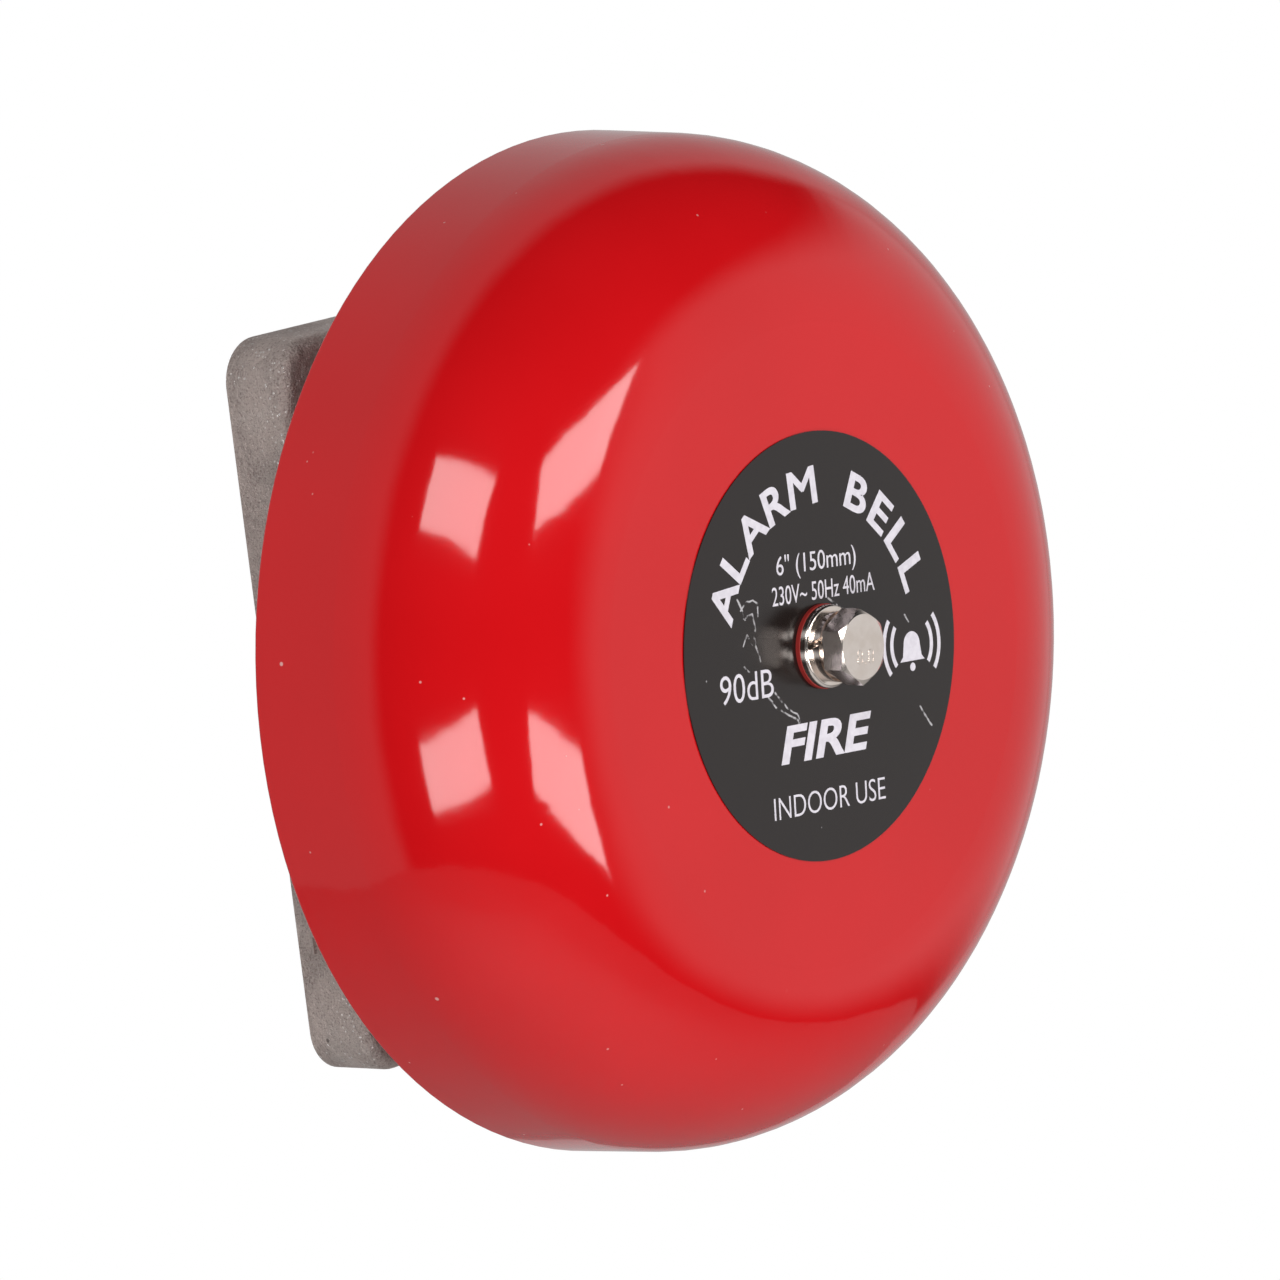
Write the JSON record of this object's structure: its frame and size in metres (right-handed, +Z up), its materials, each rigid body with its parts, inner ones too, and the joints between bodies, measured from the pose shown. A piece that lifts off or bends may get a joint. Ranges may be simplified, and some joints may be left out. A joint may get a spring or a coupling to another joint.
{
  "type": "alarm bell",
  "caption": "Round red wall alarm bell: a domed steel gong on a shallow square cast base, a hex bolt through a black centre disc and a solenoid striker behind.",
  "frame": {"origin": "centre of the four wall screw holes, on the plane of the wall at the back of the base", "axes": "+Y into the wall, so the gong faces -Y; +Z up; +X to the right as seen from the front"},
  "size_m": [0.1499, 0.0666, 0.15],
  "materials": {
    "gong_enamel": "smooth high-gloss red enamel on steel",
    "label_film": null,
    "cast_aluminium": "as-cast, fine sparkle, unpainted",
    "nickel_plate": "bright nickel plate on steel",
    "zinc_plate": "zinc-plated steel",
    "red_fibre": "vulcanised fibre, matt",
    "brass_screw": "machined brass",
    "brass_tube": "drawn brass",
    "bobbin_nylon": "natural nylon",
    "copper_winding": "enamelled copper wire, wound",
    "coil_tape_film": "yellow polyester tape",
    "black_rubber": "moulded rubber",
    "spring_steel": "spring steel",
    "bright_steel": "turned bright steel",
    "tip_nylon": "turned nylon",
    "block_nylon": "moulded white nylon",
    "brown_insulation": "brown insulation",
    "blue_insulation": "blue insulation"
  },
  "bodies": {
    "base": {"base_casting": "cast_aluminium", "mechanism_housing": "cast_aluminium", "housing_screws": "zinc_plate", "centre_bolt": "nickel_plate", "spring_washer": "nickel_plate", "flat_washer": "nickel_plate", "front_fibre_washer": "red_fibre", "rear_fibre_washer": "red_fibre", "solenoid_frame": "zinc_plate", "bobbin": "bobbin_nylon", "coil_winding": "copper_winding", "coil_tape": "coil_tape_film", "core_tube": "brass_tube", "rear_buffer": "black_rubber", "guide_bush": "brass_tube", "return_spring": "spring_steel", "frame_screws": "zinc_plate", "frame_screw_washers": "zinc_plate", "earth_screw": "brass_screw", "earth_washer": "brass_screw", "terminal_block": "block_nylon", "terminal_clamps": "brass_screw", "terminal_screws": "zinc_plate", "terminal_block_screw": "zinc_plate", "lead_wire_live": "brown_insulation", "lead_wire_neutral": "blue_insulation", "cable_grommet": "black_rubber"},
    "bell": {"gong": "gong_enamel", "label_disc": "label_film"},
    "striker": {"plunger": "bright_steel", "striker_rod": "bright_steel", "striker_tip": "tip_nylon", "retaining_clip": "spring_steel", "spring_seat": "zinc_plate"}
  },
  "joints": [
    {"name": "gong_turn", "type": "hinge", "parent": "base", "child": "bell", "pos_m": [0, -0.0389, 0], "axis": [0, -1, 0], "continuous": true},
    {"name": "striker_slide", "type": "slide", "parent": "base", "child": "striker", "axis": [1, 0, 0], "range_m": [0, 0.0041], "stiffness_N_per_m": 400, "springref_m": -0.003, "deforming": ["return_spring"]}
  ]
}
